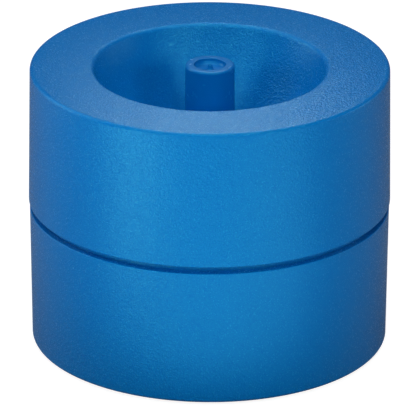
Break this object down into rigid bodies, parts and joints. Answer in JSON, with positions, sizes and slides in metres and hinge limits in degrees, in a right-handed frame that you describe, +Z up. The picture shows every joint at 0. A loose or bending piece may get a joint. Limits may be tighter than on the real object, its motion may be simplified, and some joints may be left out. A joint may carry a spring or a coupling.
{
  "type": "magnetic paper clip dispenser",
  "caption": "Round desk cup with a lift-off funnel lid and a central magnet post that holds paper clips in reach.",
  "frame": {"origin": "on the axis of the drum, in the plane of the soles of the feet", "axes": "+Z up along the axis of the post; -Y faces the viewer; the object looks the same from every side"},
  "size_m": [0.074, 0.074, 0.0597],
  "materials": {
    "blue_textured_plastic": "fine spark-eroded texture",
    "blue_satin_plastic": "smooth satin",
    "nickel_magnet": "nickel plated",
    "grey_plastic": "plain",
    "black_rubber": "matte"
  },
  "bodies": {
    "base": {"base_cup": "blue_textured_plastic", "centre_post": "blue_satin_plastic", "post_magnet": "nickel_magnet", "magnet_plug": "grey_plastic", "foot_1": "black_rubber", "foot_2": "black_rubber", "foot_3": "black_rubber", "foot_4": "black_rubber"},
    "lid": {"lid_shell": "blue_textured_plastic"}
  },
  "joints": [
    {"name": "lid_lift", "type": "slide", "parent": "base", "child": "lid", "axis": [0, 0, 1], "range_m": [0, 0.045]}
  ]
}
